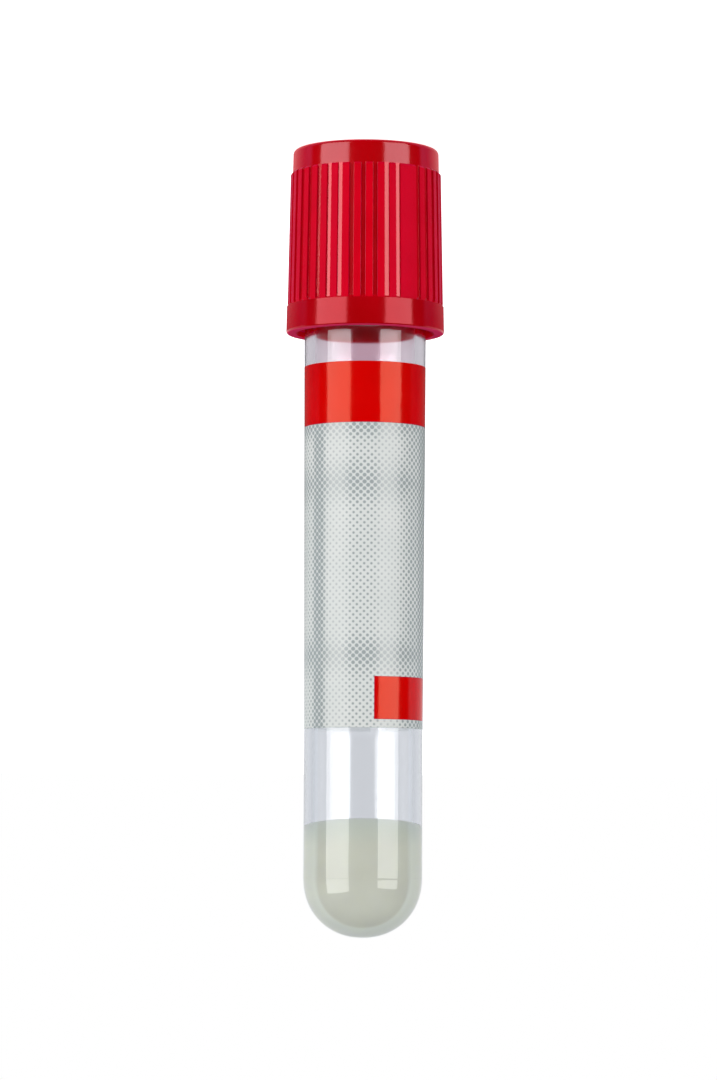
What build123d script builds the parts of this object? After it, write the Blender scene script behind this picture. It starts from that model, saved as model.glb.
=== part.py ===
from build123d import *
import os
from math import radians, tan

# A 13 x 75 mm evacuated blood collection tube with separator gel, closed by a rubber stopper in a
# ribbed cap. Its foot is round, so it stands turned over, on the flat top of its cap.
# Each piece is drawn with the foot down, Z from the foot to the cap and the printed front at -Y, and
# all are turned over together at the end. Lengths are in millimetres and angles in degrees.

# Tube, moulded in clear plastic
tube_length = 75.0
foot_radius = 6.39  # outside radius of the round foot and of the straight land above it
land_top = 22.0  # height where the straight land ends and the moulding draft begins
rim_flare = 0.25  # how much wider the outside is at the rim than at the foot
tube_wall = 0.97  # at the foot
rim_round = 0.3

# Separator gel, set in the foot with a sloping surface
gel_height = 12.0  # at the axis
gel_rise_to_front = 8.0
gel_rise_to_left = 0.9

# Label, a printed film wrapped round the tube
label_bottom = 22.4
label_height = 39.28
label_film = 0.04
label_adhesive = 0.04  # layer between the film and the tube
label_seam = 16.0  # angle left open between the film's two ends, at the back

# Closure as a whole
cap_over_rim = 10.5  # from the tube's rim up to the flat top of the cap
closure_clearance = 0.05  # between the cap and the stopper
plug_clearance = 0.05  # between the stopper and the tube's bore

# Cap, moulded in one piece
cap_height = 20.12
cap_wall = 1.1
cap_gap = 0.38  # between the tube's rim and the cap's wall
cap_draft = 1.06
cap_top_round = 0.5
top_plate = 1.3
skirt_height = 2.97
skirt_step = 0.3  # how far the skirt stands out from the wall above it
skirt_wall = 1.11
skirt_mouth_depth = 2.0
skirt_edge_round = 0.25
collar_gap = 0.8  # ring left open between the collar and the cap's wall
collar_wall = 0.9
lip_height = 0.8  # lip on the collar that holds the stopper's head
lip_depth = 0.4
well_ledge = 0.85  # how far the ledge over the stopper's head reaches in
well_chamfer = 0.3

# Grip ribs on the cap, evenly spaced, with two neighbours run together into a wide rib, twice round
rib_count = 40
rib_angle = 5.4
rib_height = 0.22
rib_root = 0.3  # how deep each rib is let into the wall, so that they are one piece
rib_top_band = 2.5  # smooth band above the ribs
first_rib_angle = 2.6  # from the front, towards the right
wide_rib_count = 2
first_wide_rib = 3  # the wide rib starts at this rib and takes in the next one

# Stopper, moulded in rubber
plug_length = 8.1
plug_chamfer = 0.5
plug_well_radius = 2.6
plug_well_depth = 6.5
flange_thickness = 1.8
flange_inset = 0.2  # how far the flange stops short of the rim's outer edge
head_height = 4.0
head_dimple_radius = 3.0
head_dimple_depth = 0.7

# Directions about the axis
front_angle = -90
back_angle = 90

# Heights and radii that follow from the sizes above
bore_radius = foot_radius - tube_wall
rim_radius = foot_radius + rim_flare
label_top = label_bottom + label_height
cap_top = tube_length + cap_over_rim
cap_bottom = cap_top - cap_height
skirt_top = cap_bottom + skirt_height
rib_top = cap_top - rib_top_band
lip_bottom = tube_length + flange_thickness + closure_clearance
lip_top = lip_bottom + lip_height
head_bottom = lip_top + closure_clearance
head_top = head_bottom + head_height
pocket_top = head_top + closure_clearance
plate_bottom = cap_top - top_plate


def tube_outside(height):
    """Outside radius of the tube's wall at a height above the end of the foot."""
    drafted = max(0.0, height - land_top) / (tube_length - land_top)
    return foot_radius + rim_flare * drafted


def cap_outside(height):
    """Outside radius of the cap's wall, without skirt and ribs."""
    at_rim = rim_radius + cap_gap + cap_wall
    return at_rim + (tube_length - height) * tan(radians(cap_draft))


def cap_inside(height):
    """Inside radius of the cap's wall."""
    return cap_outside(height) - cap_wall


collar_radius = cap_inside(plate_bottom) - collar_gap
pocket_radius = collar_radius - collar_wall
lip_radius = pocket_radius - lip_depth
well_radius = pocket_radius - well_ledge


def turned(points, rounds=(), arc=360.0):
    """Solid turned about Z from an outline of (radius, height), with some of its corners rounded."""
    outline = make_face(Polyline(*points, close=True))
    for corner, radius in rounds:
        nearest = outline.vertices().sort_by_distance((*corner, 0))[0]
        outline = fillet(nearest, radius)
    return revolve(Plane.XZ * outline, axis=Axis.Z, revolution_arc=arc)


def round_ended(radius):
    """Rod about the tube's axis, from its hemispherical foot to the height of the tube's rim."""
    on_base = (Align.CENTER, Align.CENTER, Align.MIN)
    rod = Cylinder(radius, tube_length - foot_radius, align=on_base)
    return Pos(0, 0, foot_radius) * (Sphere(radius) + rod)


def make_tube():
    """Clear tube: round foot, straight land, drafted body, plain bore and rounded rim."""
    outline = [
        (0, foot_radius),
        (foot_radius, foot_radius),
        (foot_radius, land_top),
        (rim_radius, tube_length),
        (0, tube_length),
    ]
    body = turned(outline) + Pos(0, 0, foot_radius) * Sphere(foot_radius)
    body -= round_ended(bore_radius)
    return fillet(body.edges().group_by(Axis.Z)[-1], rim_round)


def make_gel():
    """Gel that fills the foot of the bore up to a sloping plane."""
    surface = Pos(0, 0, gel_height) * Rot(X=-gel_rise_to_front, Y=gel_rise_to_left)
    return split(round_ended(bore_radius), bisect_by=Plane(surface), keep=Keep.BOTTOM)


def make_label():
    """Film that follows the tube's draft, open along one seam at the back."""
    outer = label_adhesive + label_film
    outline = [
        (tube_outside(label_bottom) + label_adhesive, label_bottom),
        (tube_outside(label_bottom) + outer, label_bottom),
        (tube_outside(label_top) + outer, label_top),
        (tube_outside(label_top) + label_adhesive, label_top),
    ]
    film = turned(outline, arc=360 - label_seam)
    return Rot(Z=back_angle + label_seam / 2) * film


def make_stopper():
    """Rubber stopper: plug with a well, flange on the tube's rim, and a head held by the cap."""
    plug_radius = bore_radius - plug_clearance
    plug_bottom = tube_length - plug_length
    head_radius = pocket_radius - closure_clearance
    neck_radius = lip_radius - closure_clearance
    flange_top = tube_length + flange_thickness
    flange_radius = rim_radius - flange_inset
    outline = [
        (plug_well_radius, plug_bottom),
        (plug_radius - plug_chamfer, plug_bottom),
        (plug_radius, plug_bottom + plug_chamfer),
        (plug_radius, tube_length),
        (flange_radius, tube_length),
        (flange_radius, flange_top),
        (neck_radius, flange_top),
        (neck_radius, head_bottom),
        (head_radius, head_bottom),
        (head_radius, head_top),
        (head_dimple_radius, head_top),
        (0, head_top - head_dimple_depth),
        (0, plug_bottom + plug_well_depth),
        (plug_well_radius, plug_bottom + plug_well_depth),
    ]
    return turned(outline)


def make_rib(start_angle, angle):
    """One grip rib, drafted as the wall is, with a sloping top end."""
    rib_shoulder = rib_top - rib_height
    outline = [
        (cap_outside(skirt_top) - rib_root, skirt_top - rib_root),
        (cap_outside(skirt_top) + rib_height, skirt_top - rib_root),
        (cap_outside(skirt_top) + rib_height, skirt_top),
        (cap_outside(rib_shoulder) + rib_height, rib_shoulder),
        (cap_outside(rib_top), rib_top),
        (cap_outside(rib_top) - rib_root, rib_top),
    ]
    return Rot(Z=front_angle + start_angle) * turned(outline, arc=angle)


def make_ribs():
    """All the grip ribs, with the wide ones."""
    pitch = 360 / rib_count
    ribs_per_wide = rib_count // wide_rib_count
    ribs = []
    for index in range(rib_count):
        start_angle = first_rib_angle + index * pitch - rib_angle / 2
        place = (index - first_wide_rib) % ribs_per_wide
        if place == 0:
            ribs.append(make_rib(start_angle, rib_angle + pitch))
        elif place > 1:
            ribs.append(make_rib(start_angle, rib_angle))
    return ribs


def make_cap():
    """Cap: skirt, drafted wall with ribs, top plate with a well, and a collar for the stopper."""
    skirt_top_radius = cap_outside(skirt_top) + skirt_step
    skirt_radius = skirt_top_radius + skirt_height * tan(radians(cap_draft))
    mouth_radius = skirt_radius - skirt_wall
    skirt_corner = (skirt_radius, cap_bottom)
    top_corner = (cap_outside(cap_top), cap_top)
    outline = [
        (mouth_radius, cap_bottom),
        skirt_corner,
        (skirt_top_radius, skirt_top),
        (cap_outside(skirt_top), skirt_top),
        top_corner,
        (well_radius + well_chamfer, cap_top),
        (well_radius, cap_top - well_chamfer),
        (well_radius, pocket_top),
        (pocket_radius, pocket_top),
        (pocket_radius, lip_top),
        (lip_radius, lip_top),
        (lip_radius, lip_bottom),
        (collar_radius, lip_bottom),
        (collar_radius, plate_bottom),
        (cap_inside(plate_bottom), plate_bottom),
        (cap_inside(skirt_top), skirt_top),
        (mouth_radius, cap_bottom + skirt_mouth_depth),
    ]
    rounds = [(skirt_corner, skirt_edge_round), (top_corner, cap_top_round)]
    return turned(outline, rounds) + make_ribs()


pieces = {
    "tube": make_tube(),
    "separator_gel": make_gel(),
    "label": make_label(),
    "stopper": make_stopper(),
    "cap": make_cap(),
}

# Turned over about the front-to-back line, with the flat top of the cap on the ground at Z = 0
standing_on_cap = Pos(0, 0, cap_top) * Rot(Y=180)

os.makedirs("parts", exist_ok=True)
for name, piece in pieces.items():
    export_step(standing_on_cap * piece, f"parts/{name}.step")
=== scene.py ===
from math import atan2, cos, degrees, hypot, pi, radians, sin, tan

import bmesh
import bpy
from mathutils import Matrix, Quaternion, Vector


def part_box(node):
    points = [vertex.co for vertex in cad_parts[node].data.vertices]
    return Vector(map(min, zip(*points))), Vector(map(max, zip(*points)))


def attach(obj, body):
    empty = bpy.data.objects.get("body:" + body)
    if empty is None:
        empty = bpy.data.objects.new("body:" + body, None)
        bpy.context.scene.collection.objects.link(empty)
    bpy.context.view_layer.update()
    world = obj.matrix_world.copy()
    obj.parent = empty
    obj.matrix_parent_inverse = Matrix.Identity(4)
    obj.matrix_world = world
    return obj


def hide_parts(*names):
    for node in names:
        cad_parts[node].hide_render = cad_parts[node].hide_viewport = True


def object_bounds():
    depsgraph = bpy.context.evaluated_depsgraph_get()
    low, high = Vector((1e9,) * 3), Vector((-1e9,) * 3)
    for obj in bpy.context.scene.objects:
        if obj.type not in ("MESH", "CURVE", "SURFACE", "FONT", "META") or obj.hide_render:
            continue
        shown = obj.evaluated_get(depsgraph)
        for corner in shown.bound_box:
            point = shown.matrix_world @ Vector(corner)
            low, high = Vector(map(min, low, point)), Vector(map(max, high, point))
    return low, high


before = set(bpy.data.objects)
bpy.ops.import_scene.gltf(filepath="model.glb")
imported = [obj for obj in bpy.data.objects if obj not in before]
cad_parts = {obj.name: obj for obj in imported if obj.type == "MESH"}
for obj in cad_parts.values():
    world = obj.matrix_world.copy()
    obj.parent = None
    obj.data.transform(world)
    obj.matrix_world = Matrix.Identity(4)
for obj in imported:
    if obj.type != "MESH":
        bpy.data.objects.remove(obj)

# A blood collection tube standing on the flat top of its cap, foot up, printed front towards -Y.
# Heights are above the ground, so the cap is low and the round foot is high.

mm = 0.001
tiny = 0.001 * mm  # closer than this counts as the same place
near = 10 * tiny  # the same for points that have been turned or scaled
white = (1, 1, 1, 1)
cadLow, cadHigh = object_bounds()
tubeLow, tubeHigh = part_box("tube")
labelLow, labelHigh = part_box("label")
stopperLow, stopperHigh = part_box("stopper")
capLow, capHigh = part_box("cap")
scene = bpy.context.scene
scene.view_settings.view_transform = "Standard"
print("frame loaded")


def addRing(name, radius, height, count):
    bpy.ops.object.select_all(action="DESELECT")
    bpy.ops.mesh.primitive_circle_add(vertices=count, radius=radius, location=(0, 0, height))
    piece = bpy.context.object
    piece.name = name
    piece.data.name = name
    bpy.ops.object.transform_apply(location=True, rotation=True, scale=True)
    bpy.ops.object.mode_set(mode="EDIT")
    bpy.ops.mesh.select_mode(type="VERT")
    bpy.ops.mesh.select_all(action="SELECT")
    return piece


def extrudeRings(outline):
    # carries the selected ring through the outline's (radius, height) points, and closes it at radius 0
    radius, height = outline[0]
    for nextRadius, nextHeight in outline[1:]:
        bpy.ops.mesh.extrude_region_move(TRANSFORM_OT_translate={"value": (0, 0, nextHeight - height)})
        if nextRadius == 0:
            bpy.ops.mesh.merge(type="CENTER")
            break
        if nextRadius != radius:
            share = nextRadius / radius
            bpy.ops.transform.resize(value=(share, share, 1), center_override=(0, 0, nextHeight))
        radius, height = nextRadius, nextHeight


def pickVerts(piece, test):
    bpy.ops.mesh.select_mode(type="VERT")
    bpy.ops.mesh.select_all(action="DESELECT")
    mesh = bmesh.from_edit_mesh(piece.data)
    for vert in mesh.verts:
        vert.select = bool(test(vert))
    mesh.select_flush(True)
    bmesh.update_edit_mesh(piece.data)


def pickFaces(piece, test):
    bpy.ops.mesh.select_mode(type="FACE")
    bpy.ops.mesh.select_all(action="DESELECT")
    mesh = bmesh.from_edit_mesh(piece.data)
    for face in mesh.faces:
        face.select = bool(test(face.calc_center_median(), face.normal))
    bmesh.update_edit_mesh(piece.data)


def assignFinish(piece, name):
    piece.active_material_index = piece.data.materials.find(name)
    bpy.ops.object.material_slot_assign()


def choose(piece):
    bpy.ops.object.select_all(action="DESELECT")
    piece.select_set(True)
    bpy.context.view_layer.objects.active = piece


def closeShell():
    bpy.ops.mesh.select_mode(type="VERT")
    bpy.ops.mesh.select_all(action="SELECT")
    bpy.ops.mesh.remove_doubles(threshold=tiny)
    bpy.ops.mesh.normals_make_consistent(inside=False)
    bpy.ops.mesh.select_all(action="DESELECT")


def applyModifiers(piece):
    for modifier in list(piece.modifiers):
        bpy.ops.object.modifier_apply(modifier=modifier.name)


def finishPiece(piece, softEdge=0, segments=2, sharpAngle=40, smoothAngle=35):
    # angles in degrees: what is sharper is bevelled, what is flatter is shaded smooth
    bpy.ops.object.mode_set(mode="OBJECT")
    choose(piece)
    if softEdge:
        bevel = piece.modifiers.new("softEdge", "BEVEL")
        bevel.width = softEdge
        bevel.segments = segments
        bevel.limit_method = "ANGLE"
        bevel.angle_limit = radians(sharpAngle)
        bevel.miter_outer = "MITER_ARC"
        applyModifiers(piece)
    bpy.ops.object.shade_smooth_by_angle(angle=radians(smoothAngle))
    weighted = piece.modifiers.new("evenNormals", "WEIGHTED_NORMAL")
    weighted.mode = "FACE_AREA_WITH_ANGLE"
    weighted.keep_sharp = True
    applyModifiers(piece)


def arc(centre, radius, start, end, steps):
    # points on an arc of the outline, angles in degrees from the radial direction, +90 is up
    turns = [radians(start + (end - start) * step / steps) for step in range(steps + 1)]
    return [(centre[0] + radius * cos(turn), centre[1] + radius * sin(turn)) for turn in turns]


def axisDistance(place):
    return hypot(place.x, place.y)


def outward(centre, direction):
    # above 0 where a face looks away from the tube's axis
    return centre.x * direction.x + centre.y * direction.y


def frontAngle(place):
    # degrees from the printed front, growing towards -X
    return degrees(atan2(-place.x, -place.y))


def newMaterial(name):
    material = bpy.data.materials.new(name)
    material.use_nodes = True
    material.node_tree.nodes.clear()
    return material, material.node_tree


def fill(tree, socket, value):
    if isinstance(value, bpy.types.NodeSocket):
        tree.links.new(value, socket)
    else:
        socket.default_value = value


def addNode(tree, kind, sockets=None, **settings):
    node = tree.nodes.new(kind)
    for key, value in settings.items():
        setattr(node, key, value)
    for key, value in (sockets or {}).items():
        fill(tree, node.inputs[key], value)
    return node


def calc(tree, operation, first, second=0.0):
    node = addNode(tree, "ShaderNodeMath", {0: first, 1: second}, operation=operation)
    return node.outputs[0]


def ramp(tree, value, low, high, start=0.0, end=1.0):
    node = addNode(tree, "ShaderNodeMapRange", {"Value": value, "From Min": low, "From Max": high,
                                                "To Min": start, "To Max": end})
    return node.outputs["Result"]


def between(tree, value, low, high, soft):
    # 1 inside a stretch and 0 outside it, with soft ends
    rise = ramp(tree, value, low - soft, low + soft)
    fall = ramp(tree, value, high - soft, high + soft, 1.0, 0.0)
    return calc(tree, "MULTIPLY", rise, fall)


def mixColours(tree, factor, first, second):
    # a Mix node has its colours in sockets 6 and 7, and puts the mixed one out of socket 2
    node = addNode(tree, "ShaderNodeMix", data_type="RGBA")
    for index, value in ((0, factor), (6, first), (7, second)):
        fill(tree, node.inputs[index], value)
    return node.outputs[2]


def shade(tree, sockets):
    # the Principled shader with these sockets, straight to the output
    shader = addNode(tree, "ShaderNodeBsdfPrincipled", sockets)
    addNode(tree, "ShaderNodeOutputMaterial", {"Surface": shader.outputs["BSDF"]})


def addSocket(group, name, kind, way="INPUT"):
    group.interface.new_socket(name, in_out=way, socket_type="NodeSocket" + kind)


texture = {
    "low": 0.3,  # the noise keeps mostly between these two levels
    "high": 0.7,
    "patchesPerMm": 0.35,  # larger patches, smoother and rougher
    "bumpDepth": 0.05 * mm,
}


def makeGrainGroup():
    # moulded grain: a roughness that varies and a bumped normal
    group = bpy.data.node_groups.new("fineGrain", "ShaderNodeTree")
    for name in ("Grains per mm", "Depth", "Smooth", "Rough"):
        addSocket(group, name, "Float")
    addSocket(group, "Roughness", "Float", "OUTPUT")
    addSocket(group, "Normal", "Vector", "OUTPUT")
    inside = addNode(group, "NodeGroupInput")
    place = addNode(group, "ShaderNodeTexCoord")
    scale = calc(group, "MULTIPLY", inside.outputs["Grains per mm"], 1 / mm)
    noise = addNode(group, "ShaderNodeTexNoise", {"Vector": place.outputs["Object"], "Scale": scale})
    patches = addNode(group, "ShaderNodeTexNoise", {"Vector": place.outputs["Object"],
                                                    "Scale": texture["patchesPerMm"] / mm})
    level = ramp(group, patches.outputs["Fac"], texture["low"], texture["high"],
                 inside.outputs["Smooth"], inside.outputs["Rough"])
    bump = addNode(group, "ShaderNodeBump", {"Strength": inside.outputs["Depth"],
                                             "Distance": texture["bumpDepth"],
                                             "Height": noise.outputs["Fac"]})
    addNode(group, "NodeGroupOutput", {"Roughness": level, "Normal": bump.outputs["Normal"]})
    return group


def makeCloudGroup():
    # slow drift of tone through a moulding, between two colours
    group = bpy.data.node_groups.new("softClouds", "ShaderNodeTree")
    addSocket(group, "Cloud mm", "Float")
    addSocket(group, "Deep", "Color")
    addSocket(group, "Light", "Color")
    addSocket(group, "Colour", "Color", "OUTPUT")
    addSocket(group, "Level", "Float", "OUTPUT")
    inside = addNode(group, "NodeGroupInput")
    place = addNode(group, "ShaderNodeTexCoord")
    scale = calc(group, "DIVIDE", 1 / mm, inside.outputs["Cloud mm"])
    noise = addNode(group, "ShaderNodeTexNoise", {"Vector": place.outputs["Object"], "Scale": scale})
    level = ramp(group, noise.outputs["Fac"], texture["low"], texture["high"])
    colour = mixColours(group, level, inside.outputs["Deep"], inside.outputs["Light"])
    addNode(group, "NodeGroupOutput", {"Colour": colour, "Level": level})
    return group


fineGrain = makeGrainGroup()
softClouds = makeCloudGroup()


def grain(tree, perMm, depth, smooth, rough):
    values = {"Grains per mm": perMm, "Depth": depth, "Smooth": smooth, "Rough": rough}
    return addNode(tree, "ShaderNodeGroup", values, node_tree=fineGrain)


def clouds(tree, size, deep=(0, 0, 0), light=(1, 1, 1)):
    node = addNode(tree, "ShaderNodeGroup", node_tree=softClouds)
    node.inputs["Cloud mm"].default_value = size
    node.inputs["Deep"].default_value = (*deep, 1)
    node.inputs["Light"].default_value = (*light, 1)
    return node


studio = {
    "lens": 136.38,
    "clipStart": 0.01,
    "distance": 443.4 * mm,
    "aim": Vector((0.62 * mm, 0, 42.58 * mm)),
    "rise": radians(4.58),  # camera above the level of its aim
    "lean": radians(0.275),

    # two tall lamps in front
    "lampDistance": 0.6,
    "leftLamp": {"turn": radians(51.5), "width": 0.54, "top": 0.33},
    "rightLamp": {"turn": radians(-50.3), "width": 0.47, "top": 0.245},
    "lampBottom": -0.5,
    "lampGlow": 3.9,  # radiance, where white paper is about 1

    "airTone": (0.93, 0.955, 1.0, 1),  # of all light but the lamps' and the side walls'

    # walls that glossy surfaces mirror, by how far a ray heads backwards
    "backWall": {"from": 0.45, "to": 0.9, "glow": 0.8},
    "sideWall": {"from": 0.10, "to": 0.20, "endFrom": 0.25, "endTo": 0.85, "glow": 0.9},
    "lowTone": (0.22, 0.30, 0.75, 1),  # the side walls near the floor, and higher up
    "highTone": (0.60, 0.78, 1.0, 1),
    "wallLean": 0.23,  # the walls come further forward overhead
    "wallLow": {"from": -0.20, "to": -0.14},  # bright beside the floor, and again from lamp height up
    "wallHigh": {"from": -0.09, "to": -0.03},
    "wallDim": 0.15,

    # light that shines through clear plastic
    "backLight": {"from": -0.45, "to": 0.1, "glow": 0.93},
    "backEnds": {"from": 0.2, "to": 0.7, "kept": 0.8},  # less of it far to the sides
    "overhead": {"from": 0.1, "to": 0.5, "glow": 0.8},
    "straightLight": 0.74,  # at least this along rays that were never mirrored
    "frontLight": 0.02,  # and this along the others

    # soft light on matt surfaces
    "behind": {"from": -0.1, "to": 0.4, "glow": 1.0},
    "fill": {"from": 0.15, "to": 0.65, "glow": 0.7},

    "groundSize": 6.0,
    "groundGap": near,
    "groundTone": (0.8, 0.8, 0.8, 1),
    "groundLift": 0.9,  # glow that makes it plain white for the camera
}


def makeCamera():
    data = bpy.data.cameras.new("camera")
    data.lens = studio["lens"]
    data.clip_start = studio["clipStart"]
    camera = bpy.data.objects.new("camera", data)
    scene.collection.objects.link(camera)
    rise = studio["rise"]
    camera.location = studio["aim"] + studio["distance"] * Vector((0, -cos(rise), sin(rise)))
    camera.rotation_mode = "QUATERNION"
    level = Quaternion((1, 0, 0), pi / 2 - rise)
    camera.rotation_quaternion = level @ Quaternion((0, 0, 1), pi + studio["lean"])  # cap uppermost in view
    scene.camera = camera


def makeLamp(name):
    sizes = studio[name]
    data = bpy.data.lights.new(name, "AREA")
    data.shape = "RECTANGLE"
    data.size = sizes["width"]
    data.size_y = sizes["top"] - studio["lampBottom"]
    data.energy = studio["lampGlow"] * pi * data.size * data.size_y
    lamp = bpy.data.objects.new(name, data)
    scene.collection.objects.link(lamp)
    away = Vector((sin(sizes["turn"]), -cos(sizes["turn"]), 0))
    middle = Vector((0, 0, (sizes["top"] + studio["lampBottom"]) / 2))
    lamp.location = away * studio["lampDistance"] + middle
    lamp.rotation_mode = "QUATERNION"
    lamp.rotation_quaternion = (-away).to_track_quat("-Z", "Y")


def makeWorld():
    world = bpy.data.worlds.new("studioAir")
    scene.world = world
    world.use_nodes = True
    tree = world.node_tree
    tree.nodes.clear()
    path = addNode(tree, "ShaderNodeLightPath")
    direction = addNode(tree, "ShaderNodeTexCoord")
    parts = addNode(tree, "ShaderNodeSeparateXYZ", {"Vector": direction.outputs["Generated"]})
    height = parts.outputs["Z"]

    def gradient(name, axis):
        light = studio[name]
        return ramp(tree, parts.outputs[axis], light["from"], light["to"], 0.0, light["glow"])

    def share(name, value):
        return calc(tree, "MULTIPLY", path.outputs[name], value)

    # mirrored walls, which rays through clear plastic don't see
    low, high, dim = studio["wallLow"], studio["wallHigh"], studio["wallDim"]
    bright = calc(tree, "MAXIMUM", ramp(tree, height, low["from"], low["to"], 1.0, dim),
                  ramp(tree, height, high["from"], high["to"], dim, 1.0))
    reflected = calc(tree, "SUBTRACT", path.outputs["Is Glossy Ray"], path.outputs["Is Transmission Ray"])
    bright = calc(tree, "MULTIPLY", bright, calc(tree, "MAXIMUM", reflected, 0.0))
    leaning = calc(tree, "SUBTRACT", parts.outputs["Y"], calc(tree, "MULTIPLY", height, studio["wallLean"]))
    backWall, sideWall = studio["backWall"], studio["sideWall"]
    far = ramp(tree, leaning, backWall["from"], backWall["to"], 0.0, backWall["glow"])
    beside = calc(tree, "MULTIPLY", ramp(tree, leaning, sideWall["from"], sideWall["to"]),
                  ramp(tree, leaning, sideWall["endFrom"], sideWall["endTo"], sideWall["glow"], 0.0))
    glossy = calc(tree, "MULTIPLY", far, bright)
    sides = calc(tree, "MULTIPLY", beside, bright)

    # light through clear plastic
    ends = studio["backEnds"]
    width = calc(tree, "ABSOLUTE", parts.outputs["X"])
    kept = ramp(tree, width, ends["from"], ends["to"], 1.0, ends["kept"])
    wall = calc(tree, "MULTIPLY", gradient("backLight", "Y"), kept)
    light = calc(tree, "MAXIMUM", wall, gradient("overhead", "Z"))
    turned = calc(tree, "ADD", path.outputs["Glossy Depth"], path.outputs["Diffuse Depth"])
    straight = ramp(tree, turned, 0.0, 1.0, studio["straightLight"], studio["frontLight"])
    through = share("Is Transmission Ray", calc(tree, "MAXIMUM", light, straight))

    # soft light on matt surfaces, and plain white for the camera
    matt = calc(tree, "MAXIMUM", gradient("behind", "Y"), gradient("fill", "Z"))
    soft = share("Is Diffuse Ray", matt)
    unseen = calc(tree, "MAXIMUM", calc(tree, "MAXIMUM", glossy, through), soft)
    strength = calc(tree, "MAXIMUM", unseen, path.outputs["Is Camera Ray"])
    tone = mixColours(tree, path.outputs["Is Camera Ray"], studio["airTone"], white)
    back = addNode(tree, "ShaderNodeBackground", {"Color": tone, "Strength": strength})
    raised = ramp(tree, height, high["from"], high["to"])
    sideTone = mixColours(tree, raised, studio["lowTone"], studio["highTone"])
    cool = addNode(tree, "ShaderNodeBackground", {"Color": sideTone, "Strength": sides})
    both = addNode(tree, "ShaderNodeAddShader", {0: back.outputs[0], 1: cool.outputs[0]})
    addNode(tree, "ShaderNodeOutputWorld", {"Surface": both.outputs[0]})


def makeGround():
    bpy.ops.object.select_all(action="DESELECT")
    height = cadLow.z - studio["groundGap"]
    bpy.ops.mesh.primitive_plane_add(size=studio["groundSize"], location=(0, 0, height))
    ground = bpy.context.object
    ground.name = "ground"
    material, tree = newMaterial("paleGround")
    path = addNode(tree, "ShaderNodeLightPath")
    paper = addNode(tree, "ShaderNodeBsdfDiffuse", {"Color": studio["groundTone"]})
    lift = calc(tree, "MULTIPLY", path.outputs["Is Camera Ray"], studio["groundLift"])
    glow = addNode(tree, "ShaderNodeEmission", {"Strength": lift})
    both = addNode(tree, "ShaderNodeAddShader", {0: paper.outputs[0], 1: glow.outputs[0]})
    addNode(tree, "ShaderNodeOutputMaterial", {"Surface": both.outputs[0]})
    ground.data.materials.append(material)
    ground.visible_glossy = False
    ground.visible_transmission = False
    ground.visible_shadow = False


makeCamera()
makeLamp("leftLamp")
makeLamp("rightLamp")
makeWorld()
makeGround()
print("studio ready")


tube = {
    "sides": 144,
    "footRadius": 6.39 * mm,
    "rimRadius": 6.64 * mm,
    "wall": 0.97 * mm,
    "landLow": tubeHigh.z - 22.0 * mm,  # from here to the foot the outside is straight
    "rimRound": 0.3 * mm,
    "roundSteps": 5,
    "footSteps": 22,
    "fullness": 2.10,  # the foot is a little fuller than a half ball
    "partingHeight": 0.02 * mm,  # witness line of the mould where the foot begins
    "partingWidth": 0.06 * mm,
    "tint": (0.905, 0.91, 0.92, 1),
    "neckPaintedReflection": (0.795, 0.64, 0.70, 1),  # painted reflection of the red cap, tinted into the clear neck, strongest in its middle
    "neckSidesPaintedReflection": (0.87, 0.80, 0.835, 1),
    "neckFrom": 0.15,  # from the middle's painted reflection to the sides', as shares of the rim's radius
    "neckTo": 0.6,
    "neckBlend": 0.6 * mm,
    "bend": 1.57,  # index of refraction
    "polish": {"clearPlastic": 0.02, "boreWall": 0.1},  # roughness outside and in the bore
    "streaks": {"perMm": 0.5, "stretch": 0.12, "strength": 0.12, "depth": 0.02 * mm},
}


def tubeWall(height):
    # the outside's radius, which grows evenly from the land down to the rim
    drafted = max(0, tube["landLow"] - height) / (tube["landLow"] - tubeLow.z)
    return tube["footRadius"] + (tube["rimRadius"] - tube["footRadius"]) * drafted


def footArc(centre, radius, steps):
    # a quarter outline from the side to the pole, rounder than a circle where the fullness is over 2
    fullness = tube["fullness"]
    points = []
    for across, up in arc((0, 0), 1, 0, 90, steps):
        reach = (across ** fullness + up ** fullness) ** (1 / fullness)
        points.append((radius * across / reach, centre + radius * up / reach))
    return points


def makeTubePlastic(name):
    material, tree = newMaterial(name)
    streaks = tube["streaks"]
    place = addNode(tree, "ShaderNodeTexCoord")
    flow = addNode(tree, "ShaderNodeMapping", {"Vector": place.outputs["Object"],
                                               "Scale": (1, 1, streaks["stretch"])})
    noise = addNode(tree, "ShaderNodeTexNoise", {"Vector": flow.outputs["Vector"],
                                                 "Scale": streaks["perMm"] / mm})
    bump = addNode(tree, "ShaderNodeBump", {"Strength": streaks["strength"], "Distance": streaks["depth"],
                                            "Height": noise.outputs["Fac"]})
    parts = addNode(tree, "ShaderNodeSeparateXYZ", {"Vector": place.outputs["Object"]})
    # painted reflection: the neck below the label is tinted with the cap's red, more in its middle than at
    # its sides
    aside = calc(tree, "DIVIDE", calc(tree, "ABSOLUTE", parts.outputs["X"]), tube["rimRadius"])
    neck = mixColours(tree, ramp(tree, aside, tube["neckFrom"], tube["neckTo"]),
                      tube["neckPaintedReflection"], tube["neckSidesPaintedReflection"])
    body = ramp(tree, parts.outputs["Z"], labelLow.z, labelLow.z + tube["neckBlend"])
    tint = mixColours(tree, body, neck, tube["tint"])
    shade(tree, {"Base Color": tint, "Roughness": tube["polish"][name], "IOR": tube["bend"],
                 "Transmission Weight": 1.0, "Normal": bump.outputs["Normal"]})
    return material


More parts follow.
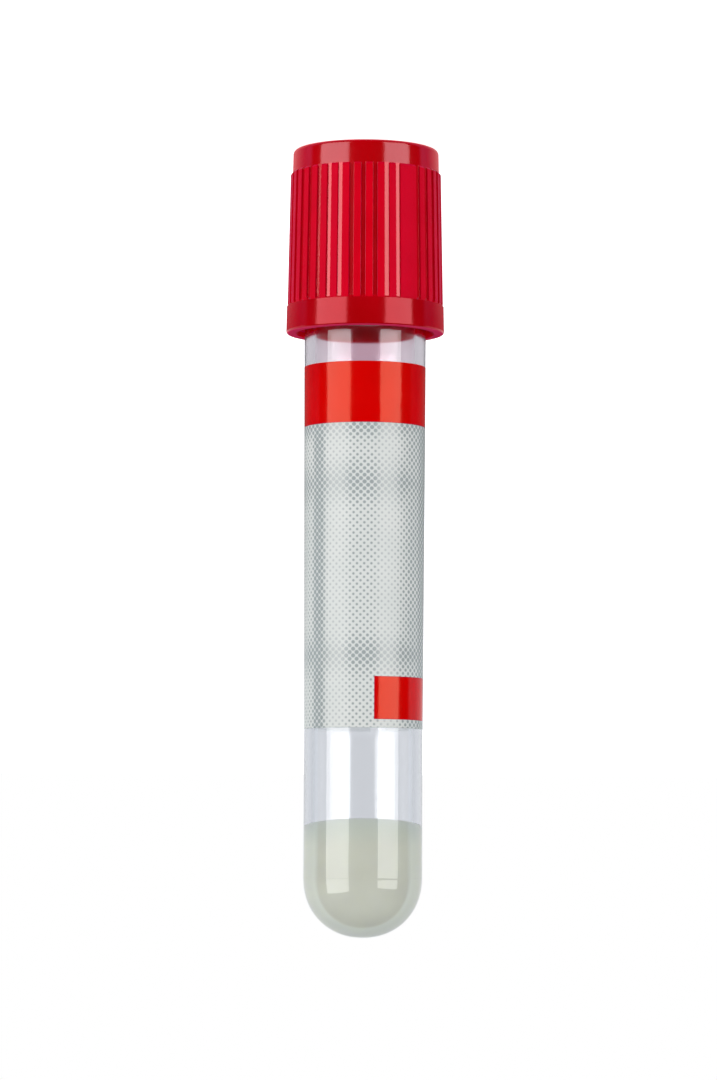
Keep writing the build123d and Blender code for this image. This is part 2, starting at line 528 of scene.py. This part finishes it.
def makeTube():
    outer = tube["footRadius"]
    bore = outer - tube["wall"]
    footCentre = tubeHigh.z - outer
    outline = [(outer + tube["partingHeight"], footCentre), (outer, footCentre + tube["partingWidth"])]
    outline += footArc(footCentre, outer, tube["footSteps"])[1:-1]
    outline += [(0, tubeHigh.z)]
    piece = addRing("clear_tube", *outline[0], tube["sides"])
    extrudeRings(outline)
    # down the outside, round the rim, and up the bore
    rimRound, steps = tube["rimRound"], tube["roundSteps"]
    rimHeight = tubeLow.z + rimRound
    wall = [outline[0], (outer, footCentre - tube["partingWidth"]), (outer, tube["landLow"])]
    wall += [(tube["rimRadius"], rimHeight)]
    wall += arc((tube["rimRadius"] - rimRound, rimHeight), rimRound, 0, -90, steps)[1:]
    wall += arc((bore + rimRound, rimHeight), rimRound, -90, -180, steps)
    wall += [(bore, footCentre)]
    wall += footArc(footCentre, bore, tube["footSteps"])[1:-1]
    wall += [(0, footCentre + bore)]
    pickVerts(piece, lambda vert: abs(vert.co.z - footCentre) < tiny)
    extrudeRings(wall)
    closeShell()
    for name in tube["polish"]:
        piece.data.materials.append(makeTubePlastic(name))
    pickFaces(piece, lambda centre, direction: outward(centre, direction)
              + max(0, centre.z - footCentre) * direction.z < 0)
    assignFinish(piece, "boreWall")
    finishPiece(piece)
    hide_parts("tube")
    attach(piece, "tube")


makeTube()
print("clear tube ready")


gel = {
    "sides": 144,
    "intoWall": 0.05 * mm,
    "surfaceLow": tubeHigh.z - 12.0 * mm,
    "riseToFront": radians(8.0),
    "riseToLeft": radians(-0.2),
    "spare": 3.0 * mm,  # length that the sloping cut takes away
    "footSteps": 20,
    "dishSteps": ((0.1, 0.1), (0.15, 0.08), (0.3, 0.05)),  # inset and sink of its surface, in mm
    "surfaceFacing": 0.99,  # cosine that tells the surface from the sides
    "smoothAngle": 50,
    "cloud": 3.0,  # mm
    "deep": (0.75, 0.76, 0.67),
    "light": (0.81, 0.825, 0.725),
    "rimTone": (0.66, 0.72, 0.65, 1),
    "rimStart": 0.8 * mm,  # below the middle of its surface
    "rimDepth": 2.2 * mm,
    "sideTone": (0.865, 0.885, 0.78, 1),  # painted light: the gel's sides are painted lighter, standing in for light that comes through there
    "sideFrom": 0.57,  # share of the bore's radius in front of or behind the axis
    "sideTo": 0.49,
    "grain": (1.2, 0.15, 0.3, 0.45),  # per mm, depth, smooth, rough
    "bend": 1.4,
    "spread": 2.5 * mm,
    "spreadTone": (1, 1, 0.9),
}


def makeGelMaterial():
    material, tree = newMaterial("cloudyGel")
    tone = clouds(tree, gel["cloud"], gel["deep"], gel["light"])
    place = addNode(tree, "ShaderNodeTexCoord")
    parts = addNode(tree, "ShaderNodeSeparateXYZ", {"Vector": place.outputs["Object"]})
    bore = tube["footRadius"] - tube["wall"]
    # painted light: lighter tone where the gel is near the plane through the axis, so its sides look lit
    # through
    depth = calc(tree, "ABSOLUTE", parts.outputs["Y"])
    side = ramp(tree, depth, gel["sideFrom"] * bore, gel["sideTo"] * bore)
    body = mixColours(tree, side, tone.outputs["Colour"], gel["sideTone"])
    inner = ramp(tree, parts.outputs["Z"], gel["surfaceLow"] - gel["rimStart"],
                 gel["surfaceLow"] + gel["rimDepth"])
    colour = mixColours(tree, inner, gel["rimTone"], body)
    finish = grain(tree, *gel["grain"])
    shade(tree, {"Base Color": colour, "Roughness": finish.outputs["Roughness"], "IOR": gel["bend"],
                 "Subsurface Weight": 1.0, "Subsurface Scale": gel["spread"],
                 "Subsurface Radius": gel["spreadTone"], "Normal": finish.outputs["Normal"]})
    return material


def makeGel():
    bore = tube["footRadius"] - tube["wall"] + gel["intoWall"]
    footCentre = tubeHigh.z - tube["footRadius"]
    outline = [(bore, gel["surfaceLow"] - gel["spare"]), (bore, footCentre)]
    outline += footArc(footCentre, bore, gel["footSteps"])[1:-1]
    outline += [(0, footCentre + bore)]
    piece = addRing("gel_plug", *outline[0], gel["sides"])
    extrudeRings(outline)
    # the surface slopes: it reaches lowest, nearest the cap, at the front
    normal = Vector((-tan(gel["riseToLeft"]), tan(gel["riseToFront"]), -1)).normalized()
    bpy.ops.mesh.select_all(action="SELECT")
    bpy.ops.mesh.bisect(plane_co=(0, 0, gel["surfaceLow"]), plane_no=normal, use_fill=True, clear_outer=True)
    pickFaces(piece, lambda centre, direction: direction.dot(normal) > gel["surfaceFacing"]
              and centre.z < footCentre)
    for thickness, depth in gel["dishSteps"]:
        bpy.ops.mesh.inset(thickness=thickness * mm, depth=-depth * mm)
    bpy.ops.mesh.poke()
    closeShell()
    finishPiece(piece, smoothAngle=gel["smoothAngle"])
    piece.data.materials.append(makeGelMaterial())
    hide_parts("separator_gel")
    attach(piece, "tube")


makeGel()
print("gel ready")


label = {
    "intoWall": 0.01 * mm,
    "standsOut": 0.025 * mm,
    "seam": 16.0,  # degrees left open at the back
    "columns": 172,
    "smoothAngle": 30,
    "insideFacing": 0.5,  # cosine that tells the film's inside from its edges

    # the print: heights in mm from the label's end nearest the foot, turns in degrees from the front
    "margin": 0.05,  # bare film beside the red band, at the other end
    "bandHeight": 6.60,  # the red band with its margin
    "fieldLow": 0.9,
    "fieldHigh": 5.5,
    "fieldFrom": 10.0,
    "fieldTo": 118.0,
    "dotPitch": 0.76,
    "dotRow": 0.73,
    "dotSize": (0.13, 0.25),  # radius in the open ground and in the dense bands
    "dotSoft": 0.06,
    "denseBands": ((24.8, 27.9, 1.5), (6.3, 9.3, 1.2), (31.4, 34.0, 0.8)),  # low, high, soft ends
    "blotch": {"size": 5.0, "least": 0.7},  # the dense bands' dots vary by this
    "fullStrips": (  # fuller dots: low, high, soft ends, how full
        (-57.0, -41.0, 3.0, 1.0), (43.0, 95.0, 7.0, 0.6), (60.0, 95.0, 5.0, 1.0)),
    "paintedHighlightStrips": ((-38.0, -17.0, 5.0, 1.0), (13.0, 33.0, 5.0, 1.0)),  # painted highlights: paler ink where the lamps' highlights fall, given the same way
    "paintedHighlightInk": 0.5,
    "endLine": 0.09,  # fine grey line along the film's end near the foot
    "endLineDarkness": 0.6,
    "inkEdge": 0.1,  # the red areas' deeper edge
    "inkSoft": 0.03,

    # colours and finish
    "paperCloud": 6.0,
    "paperDeep": (0.412, 0.428, 0.41),
    "paperLight": (0.452, 0.46, 0.44),
    "ink": (0.19, 0.215, 0.215, 1),
    "paperShine": (0.12, white),  # specular level and tint
    "redCloud": 5.0,
    "redDeep": (0.40, 0, 0),
    "redLight": (0.44, 0, 0),
    "redEdge": (0.30, 0, 0.01, 1),
    "redShine": (0.77, (1, 0.35, 0.21, 1)),
    "insideDeep": (0.57, 0.589, 0.608),
    "insideTone": (0.60, 0.62, 0.64),
    "insideRough": 0.5,
    "paintedInsideGlow": 0.7,  # painted glow: emission that stands in for daylight coming through the film
    "grain": (0.35, 0.5, 0.10, 0.16),  # per mm, depth, smooth, rough
    "bend": 1.5,
    "glow": 0.5,  # share of light that passes through the film
    "glowReach": 0.3 * mm,
}
label["tall"] = (labelHigh.z - labelLow.z) / mm
label["outside"] = (tube["footRadius"] + label["standsOut"]) / mm
label["length"] = radians(360 - label["seam"]) * label["outside"]
label["degree"] = radians(1) * label["outside"]  # mm along the film for a degree round the tube


def filmPlace(tree):
    # millimetres along the film from its front, and up from its end near the foot
    spread = addNode(tree, "ShaderNodeUVMap", uv_map="printMap")
    parts = addNode(tree, "ShaderNodeSeparateXYZ", {"Vector": spread.outputs["UV"]})
    across = calc(tree, "MULTIPLY", calc(tree, "SUBTRACT", parts.outputs["X"], 0.5), label["length"])
    return across, calc(tree, "MULTIPLY", parts.outputs["Y"], label["tall"])


def dotDistance(tree, across, up, shift):
    # millimetres to the nearest dot of one of the two staggered grids
    squares = []
    for place, step in ((across, label["dotPitch"]), (up, label["dotRow"])):
        cell = calc(tree, "FRACT", calc(tree, "ADD", calc(tree, "DIVIDE", place, step), shift))
        offset = calc(tree, "MULTIPLY", calc(tree, "SUBTRACT", cell, 0.5), step)
        squares.append(calc(tree, "MULTIPLY", offset, offset))
    return calc(tree, "SQRT", calc(tree, "ADD", *squares))


def strips(tree, across, name, level=0.0):
    # the level given, or more inside the upright strips of this name
    for low, high, soft, full in label[name]:
        strip = between(tree, across, *[value * label["degree"] for value in (low, high, soft)])
        level = calc(tree, "MAXIMUM", level, calc(tree, "MULTIPLY", strip, full))
    return level


def filmShader(tree, colour, shine):
    level, tint = shine
    finish = grain(tree, *label["grain"])
    shade(tree, {"Base Color": colour, "Roughness": finish.outputs["Roughness"], "IOR": label["bend"],
                 "Specular IOR Level": level, "Specular Tint": tint, "Subsurface Weight": label["glow"],
                 "Subsurface Scale": label["glowReach"], "Subsurface Radius": (1, 1, 1),
                 "Normal": finish.outputs["Normal"]})


def makeDottedFilm():
    material, tree = newMaterial("dottedFilm")
    across, up = filmPlace(tree)
    farFromZero = 100.0  # keeps the grids' cells positive
    nearest = calc(tree, "MINIMUM", dotDistance(tree, across, up, farFromZero),
                   dotDistance(tree, across, up, farFromZero + 0.5))
    # how dense the dots are, and how pale they are painted under the highlights
    dense = 0.0
    for low, high, soft in label["denseBands"]:
        dense = calc(tree, "MAXIMUM", dense, between(tree, up, low, high, soft))
    blotch = clouds(tree, label["blotch"]["size"])
    dense = calc(tree, "MULTIPLY", dense,
                 ramp(tree, blotch.outputs["Level"], 0.0, 1.0, label["blotch"]["least"], 1.0))
    dense = strips(tree, across, "fullStrips", dense)
    paintedHighlight = strips(tree, across, "paintedHighlightStrips")
    small, large = label["dotSize"]
    reach = calc(tree, "SUBTRACT", ramp(tree, dense, 0.0, 1.0, small, large), nearest)
    inDot = ramp(tree, reach, -label["dotSoft"], label["dotSoft"])
    inked = calc(tree, "MULTIPLY", inDot, ramp(tree, paintedHighlight, 0.0, 1.0, 1.0, label["paintedHighlightInk"]))
    line = ramp(tree, up, label["endLine"], 0.0, 0.0, label["endLineDarkness"])
    paper = clouds(tree, label["paperCloud"], label["paperDeep"], label["paperLight"])
    printed = mixColours(tree, calc(tree, "MAXIMUM", inked, line), paper.outputs["Colour"], label["ink"])
    filmShader(tree, printed, label["paperShine"])
    return material


def makeRedInk():
    # the solid red areas, a little deeper along their edges
    material, tree = newMaterial("redInk")
    across, up = filmPlace(tree)
    edge, soft = label["inkEdge"], label["inkSoft"]
    bandLow = label["tall"] - label["bandHeight"]
    band = ramp(tree, up, bandLow + edge - soft, bandLow + edge + soft)
    rows = between(tree, up, label["fieldLow"] + edge, label["fieldHigh"] - edge, soft)
    fieldFrom, fieldTo = label["fieldFrom"] * label["degree"], label["fieldTo"] * label["degree"]
    columns = between(tree, across, fieldFrom + edge, fieldTo - edge, soft)
    solid = calc(tree, "MAXIMUM", band, calc(tree, "MULTIPLY", rows, columns))
    red = clouds(tree, label["redCloud"], label["redDeep"], label["redLight"])
    colour = mixColours(tree, solid, label["redEdge"], red.outputs["Colour"])
    filmShader(tree, colour, label["redShine"])
    return material


def makeFilmInside():
    material, tree = newMaterial("filmInside")
    paper = clouds(tree, label["paperCloud"], label["insideDeep"], label["insideTone"])
    tone = paper.outputs["Colour"]
    # painted glow: the film's inside emits its own tone, standing in for light that comes through the film
    shade(tree, {"Base Color": tone, "Roughness": label["insideRough"], "Emission Color": tone,
                 "Emission Strength": label["paintedInsideGlow"]})
    return material


def mapPrint(piece):
    # along the film from one end to the other, and up from its end near the foot
    uv = piece.data.uv_layers.new(name="printMap")
    halfTurn = 180 - label["seam"] / 2
    for loop in piece.data.loops:
        place = piece.data.vertices[loop.vertex_index].co
        share = (frontAngle(place) + halfTurn) / (2 * halfTurn)
        uv.data[loop.index].uv = (share, (labelHigh.z - place.z) / (labelHigh.z - labelLow.z))


def makeLabel():
    lowRadius = tubeWall(labelLow.z) - label["intoWall"]
    highRadius = tubeWall(labelHigh.z) - label["intoWall"]
    bpy.ops.object.select_all(action="DESELECT")
    bpy.ops.mesh.primitive_plane_add(size=1 * mm)
    piece = bpy.context.object
    piece.name = "label_wrap"
    piece.data.name = "label_wrap"
    bpy.ops.object.mode_set(mode="EDIT")
    bpy.ops.mesh.select_all(action="SELECT")
    bpy.ops.mesh.merge(type="CENTER")
    # one upright edge at the seam, spun round the tube
    startTurn = radians(90 + label["seam"] / 2)
    start = Vector((cos(startTurn), sin(startTurn), 0))
    rise = Vector((0, 0, labelHigh.z - labelLow.z))
    bpy.ops.transform.translate(value=start * lowRadius + Vector((0, 0, labelLow.z)))
    lift = start * (highRadius - lowRadius) + rise
    bpy.ops.mesh.extrude_region_move(TRANSFORM_OT_translate={"value": lift})
    bpy.ops.mesh.select_all(action="SELECT")
    turn = radians(360 - label["seam"])
    bpy.ops.mesh.spin(steps=label["columns"], angle=turn, center=(0, 0, 0), axis=(0, 0, 1))
    bpy.ops.mesh.select_all(action="SELECT")
    bpy.ops.mesh.remove_doubles(threshold=tiny)
    # cut the film along the edges of the red areas
    bandLow, bandHigh = labelLow.z + label["margin"] * mm, labelLow.z + label["bandHeight"] * mm
    fieldLow, fieldHigh = labelHigh.z - label["fieldHigh"] * mm, labelHigh.z - label["fieldLow"] * mm
    for height in (bandLow, bandHigh, fieldLow, fieldHigh):
        bpy.ops.mesh.select_all(action="SELECT")
        bpy.ops.mesh.bisect(plane_co=(0, 0, height), plane_no=(0, 0, 1))
    for side in (label["fieldFrom"], label["fieldTo"]):
        bpy.ops.mesh.select_all(action="SELECT")
        bpy.ops.mesh.bisect(plane_co=(0, 0, 0), plane_no=(-cos(radians(side)), sin(radians(side)), 0))
    for material in (makeDottedFilm(), makeRedInk(), makeFilmInside()):
        piece.data.materials.append(material)
    pickFaces(piece, lambda centre, direction: bandLow < centre.z < bandHigh or (
        fieldLow < centre.z < fieldHigh and label["fieldFrom"] < frontAngle(centre) < label["fieldTo"]))
    assignFinish(piece, "redInk")
    bpy.ops.object.mode_set(mode="OBJECT")
    for polygon in piece.data.polygons:
        if outward(polygon.center, polygon.normal) < 0:
            polygon.flip()
    piece.data.update()
    mapPrint(piece)
    choose(piece)
    film = piece.modifiers.new("film", "SOLIDIFY")
    film.thickness = label["standsOut"] + label["intoWall"]
    film.offset = 1
    applyModifiers(piece)
    bpy.ops.object.mode_set(mode="EDIT")
    pickFaces(piece, lambda centre, direction: outward(centre, direction)
              < -label["insideFacing"] * axisDistance(centre))
    assignFinish(piece, "filmInside")
    bpy.ops.object.mode_set(mode="OBJECT")
    bpy.ops.object.shade_smooth_by_angle(angle=radians(label["smoothAngle"]))
    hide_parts("label")
    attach(piece, "tube")


makeLabel()
print("label ready")


stopper = {
    "sides": 96,
    "plugRadius": 5.37 * mm,
    "plugChamfer": 0.5 * mm,
    "wellRadius": 2.6 * mm,
    "wellDepth": 6.5 * mm,
    "flangeRadius": 6.44 * mm,
    "headHeight": 4.0 * mm,
    "headRadius": 5.10 * mm,
    "neckRadius": 4.70 * mm,
    "neckHeight": 0.9 * mm,
    "dimpleRadius": 3.0 * mm,
    "dimpleDepth": 0.7 * mm,
    "softEdge": 0.12 * mm,
    "softSteps": 3,
    "grain": (6.0, 0.3, 0.5, 0.65),  # per mm, depth, smooth, rough
    "cloud": 2.5,  # mm
    "deep": (0.30, 0.30, 0.29),
    "light": (0.36, 0.36, 0.345),
}


def makeRubber():
    material, tree = newMaterial("stopperRubber")
    tone = clouds(tree, stopper["cloud"], stopper["deep"], stopper["light"])
    finish = grain(tree, *stopper["grain"])
    shade(tree, {"Base Color": tone.outputs["Colour"], "Roughness": finish.outputs["Roughness"],
                 "Normal": finish.outputs["Normal"]})
    return material


def makeStopper():
    headLow, plugHigh, rim = stopperLow.z, stopperHigh.z, tubeLow.z
    headHigh = headLow + stopper["headHeight"]
    flangeLow = headHigh + stopper["neckHeight"]
    wellDeep = plugHigh - stopper["wellDepth"]
    head, neck, flange = stopper["headRadius"], stopper["neckRadius"], stopper["flangeRadius"]
    plug, well, chamfer = stopper["plugRadius"], stopper["wellRadius"], stopper["plugChamfer"]
    dimple, dimpleDepth = stopper["dimpleRadius"], stopper["dimpleDepth"]
    outline = [
        (dimple, headLow), (head, headLow), (head, headHigh), (neck, headHigh), (neck, flangeLow),
        (flange, flangeLow), (flange, rim), (plug, rim), (plug, plugHigh - chamfer),
        (plug - chamfer, plugHigh), (well, plugHigh), (well, wellDeep), (0, wellDeep),
    ]
    piece = addRing("rubber_stopper", *outline[0], stopper["sides"])
    extrudeRings(outline)
    pickVerts(piece, lambda vert: axisDistance(vert.co) < dimple + tiny
              and abs(vert.co.z - headLow) < tiny)
    extrudeRings([(dimple, headLow), (dimple / 2, headLow + dimpleDepth / 2), (0, headLow + dimpleDepth)])
    closeShell()
    finishPiece(piece, softEdge=stopper["softEdge"], segments=stopper["softSteps"])
    piece.data.materials.append(makeRubber())
    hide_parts("stopper")
    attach(piece, "stopper")


makeStopper()
print("stopper ready")


cap = {
    "ribs": 40,
    "columnsPerRib": 6,
    "ribAngle": 5.4,
    "firstRib": 2.6,  # degrees from the front to the middle of a rib
    "wideRibs": (3, 23),  # each runs together with the next rib
    "ribHeight": 0.22 * mm,
    "flankLean": 0.12,  # degrees
    "topBand": 2.5 * mm,
    "evenRow": 0.06 * mm,  # from the ribs' end to where the columns stand evenly again
    "wallRadius": 8.12 * mm,  # outside of the wall at the tube's rim
    "draft": radians(1.06),
    "wall": 1.1 * mm,
    "topRound": 0.45 * mm,
    "topSteps": 6,
    "plate": 1.3 * mm,
    "skirt": 2.97 * mm,
    "skirtStep": 0.29 * mm,
    "fillet": {"tall": 0.34 * mm, "out": 0.13 * mm},  # where the grooves run out into the skirt
    "skirtWall": 1.11 * mm,
    "skirtRound": 0.25 * mm,
    "skirtSteps": 5,
    "mouthDepth": 2.0 * mm,
    "collarGap": 0.8 * mm,
    "collarWall": 0.9 * mm,
    "lipHeight": 0.8 * mm,  # the lip that holds the stopper's head
    "lipDepth": 0.4 * mm,
    "lipHigh": 8.65 * mm,
    "wellLedge": 0.85 * mm,
    "wellChamfer": 0.3 * mm,
    "wellDepth": 3.75 * mm,
    "softEdge": 0.035 * mm,
    "sharpAngle": 35,
    "ribTopFrom": 0.3,  # share of the ribs' height over which their finish begins
    "mouthEdge": 0.2,  # share of the skirt's round near the mouth that carries the painted reflection
    "cloud": 4.0,  # mm
}
capFinishes = {  # grain is given per mm, shine is the specular level
    "capBand": {"deep": (0.245, 0, 0), "light": (0.28, 0, 0.001), "grain": (2.5, 0.1, 0.10, 0.14),
                "bend": 1.5, "shine": 0.75, "tint": (1, 0.60, 0.66, 1)},
    "capGroove": {"deep": (0.33, 0, 0.002), "light": (0.37, 0, 0.004), "grain": (2.5, 0.1, 0.10, 0.14),
                  "bend": 1.8, "shine": 0.8, "tint": (1, 0.34, 0.36, 1)},
    "capRib": {"deep": (0.40, 0, 0), "light": (0.445, 0, 0.002), "grain": (7.0, 0.8, 0.36, 0.46),
               "bend": 1.5, "shine": 0.07, "tint": (1, 0.15, 0.95, 1)},
    "capSkirt": {"deep": (0.228, 0, 0), "light": (0.262, 0, 0.001), "grain": (2.5, 0.1, 0.10, 0.14),
                 "bend": 1.5, "shine": 0.94, "tint": (1, 0.24, 0.28, 1)},
    # the plastic's red, painted lighter and pinker with no shine, standing in for the reflection along the
    # mouth's edge
    "capMouthPaintedReflection": {"deep": (0.56, 0.025, 0.09), "light": (0.62, 0.03, 0.10), "grain": (3.0, 0.1, 0.4, 0.5),
                 "bend": 1.5, "shine": 0.0, "tint": (1, 0.5, 0.6, 1)},
    # capInside: the plastic's own red, painted lighter to stand in for light that reaches the cap's inside
    "capInside": {"deep": (0.52, 0, 0.014), "light": (0.58, 0, 0.020), "grain": (3.0, 0.2, 0.50, 0.60),
                  "bend": 1.5, "shine": 0.04, "tint": (1, 0.50, 0.50, 1)},
}
capGlow = {  # light that spreads inside the plastic
    "capInside": {"weight": 1.0, "scale": 3.0 * mm, "radius": (1.0, 0.05, 0.05)},
}
capSheen = {  # red and crimson towards the sides
    "capBand": {"weight": 0.8, "rough": 0.6, "tint": (1, 0, 0.02, 1)},
    "capRib": {"weight": 0.12, "rough": 0.5, "tint": (0.35, 0, 1, 1)},
    "capSkirt": {"weight": 0.5, "rough": 0.6, "tint": (1, 0, 0.04, 1)},
}


def capWall(height):
    # the wall's outside radius between the ribs
    return cap["wallRadius"] + (height - tubeLow.z) * tan(cap["draft"])


def ribColumns():
    # where the columns of one rib and its groove stand, in degrees from the rib's first edge
    rib, lean, pitch = cap["ribAngle"], cap["flankLean"], 360 / cap["ribs"]
    return [lean, rib / 2, rib - lean, rib + lean, (rib + pitch) / 2, pitch - lean]


def inRib(place):
    pitch = 360 / cap["ribs"]
    offset = (frontAngle(place) - cap["firstRib"] + cap["ribAngle"] / 2) % 360
    return offset % pitch < cap["ribAngle"] or int(offset // pitch) in cap["wideRibs"]


def makeCapPlastic(name):
    values = capFinishes[name]
    material, tree = newMaterial(name)
    tone = clouds(tree, cap["cloud"], values["deep"], values["light"])
    finish = grain(tree, *values["grain"])
    sockets = {"Base Color": tone.outputs["Colour"], "Roughness": finish.outputs["Roughness"],
               "IOR": values["bend"], "Specular IOR Level": values["shine"],
               "Specular Tint": values["tint"], "Normal": finish.outputs["Normal"]}
    if name in capGlow:
        glow = capGlow[name]
        sockets |= {"Subsurface Weight": glow["weight"], "Subsurface Scale": glow["scale"],
                    "Subsurface Radius": glow["radius"]}
    if name in capSheen:
        sheen = capSheen[name]
        sockets |= {"Sheen Weight": sheen["weight"], "Sheen Roughness": sheen["rough"],
                    "Sheen Tint": sheen["tint"]}
    shade(tree, sockets)
    return material


def shareColumns(piece, test):
    # turns each column to its own place on a rib or beside it
    evenPitch = 360 / (cap["ribs"] * cap["columnsPerRib"])
    ribEdge = cap["firstRib"] - cap["ribAngle"] / 2
    mesh = bmesh.from_edit_mesh(piece.data)
    mesh.verts.ensure_lookup_table()
    chosen = {}
    for vert in mesh.verts:
        if test(vert):
            column = round((frontAngle(vert.co) % 360) / evenPitch) % cap["columnsPerRib"]
            chosen[vert.index] = column
    for index, wanted in enumerate(ribColumns()):
        pickVerts(piece, lambda vert: chosen.get(vert.index) == index)
        shift = radians(ribEdge + wanted - index * evenPitch)
        bpy.ops.transform.rotate(value=shift, orient_axis="Z", center_override=(0, 0, 0))


def makeCap():
    top, mouth = capLow.z, capHigh.z
    ribLow = top + cap["topBand"]
    skirtLow = mouth - cap["skirt"]
    skirtLowRadius = capWall(skirtLow) + cap["skirtStep"]
    skirtRadius = skirtLowRadius + cap["skirt"] * tan(cap["draft"])
    mouthRadius = skirtRadius - cap["skirtWall"]
    plateHigh = top + cap["plate"]
    wellDeep = top + cap["wellDepth"]
    lipHigh = top + cap["lipHigh"]
    lipLow = lipHigh - cap["lipHeight"]
    collar = capWall(plateHigh) - cap["wall"] - cap["collarGap"]
    pocket = collar - cap["collarWall"]
    lip = pocket - cap["lipDepth"]
    well = pocket - cap["wellLedge"]
    topRound, skirtRound = cap["topRound"], cap["skirtRound"]
    outline = [(well + cap["wellChamfer"], top)]
    outline += arc((capWall(top) - topRound, top + topRound), topRound, -90, 0, cap["topSteps"])
    filletLow = skirtLow - cap["fillet"]["tall"]
    rows = (ribLow - cap["evenRow"], ribLow, ribLow + cap["ribHeight"], filletLow)
    outline += [(capWall(height), height) for height in rows]
    outline += [(capWall(skirtLow) + cap["fillet"]["out"], skirtLow), (skirtLowRadius, skirtLow)]
    outline += arc((skirtRadius - skirtRound, mouth - skirtRound), skirtRound, 0, 90, cap["skirtSteps"])
    outline += [
        (mouthRadius, mouth), (mouthRadius, mouth - cap["mouthDepth"]),
        (capWall(skirtLow) - cap["wall"], skirtLow), (capWall(plateHigh) - cap["wall"], plateHigh),
        (collar, plateHigh), (collar, lipHigh), (lip, lipHigh), (lip, lipLow), (pocket, lipLow),
        (pocket, wellDeep), (well, wellDeep), (well, top + cap["wellChamfer"]), outline[0],
    ]
    piece = addRing("ribbed_cap", *outline[0], cap["ribs"] * cap["columnsPerRib"])
    extrudeRings(outline)
    closeShell()

    def onWall(vert):
        reach = axisDistance(vert.co) - capWall(vert.co.z)
        return -near < reach < cap["fillet"]["out"] + near

    def onRib(vert):
        return onWall(vert) and ribLow + near < vert.co.z < filletLow + tiny and inRib(vert.co)

    shareColumns(piece, lambda vert: onWall(vert) and ribLow - tiny < vert.co.z < skirtLow + tiny)

    # raise the ribs from the wall between the top band and the skirt
    pickVerts(piece, onRib)
    share = 1 + cap["ribHeight"] / cap["wallRadius"]
    bpy.ops.transform.resize(value=(share, share, 1), center_override=(0, 0, 0))

    # the finishes, from the wall to the inside
    for name in capFinishes:
        piece.data.materials.append(makeCapPlastic(name))
    pickFaces(piece, lambda centre, direction: ribLow < centre.z < skirtLow - tiny)
    assignFinish(piece, "capGroove")
    pickFaces(piece, lambda centre, direction: ribLow < centre.z < skirtLow - tiny
              and axisDistance(centre) > capWall(centre.z) + cap["ribTopFrom"] * cap["ribHeight"])
    assignFinish(piece, "capRib")
    pickFaces(piece, lambda centre, direction: centre.z > skirtLow - tiny)
    assignFinish(piece, "capSkirt")
    # painted reflection along the mouth's edge and face
    pickFaces(piece, lambda centre, direction: centre.z > mouth - cap["mouthEdge"] * skirtRound)
    assignFinish(piece, "capMouthPaintedReflection")
    pickFaces(piece, lambda centre, direction: plateHigh - tiny < centre.z < mouth - tiny
              and axisDistance(centre) < min(skirtRadius - skirtRound, capWall(centre.z) - cap["wall"] / 2))
    assignFinish(piece, "capInside")
    finishPiece(piece, softEdge=cap["softEdge"], sharpAngle=cap["sharpAngle"])
    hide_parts("cap")
    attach(piece, "cap")


makeCap()
print("cap ready")
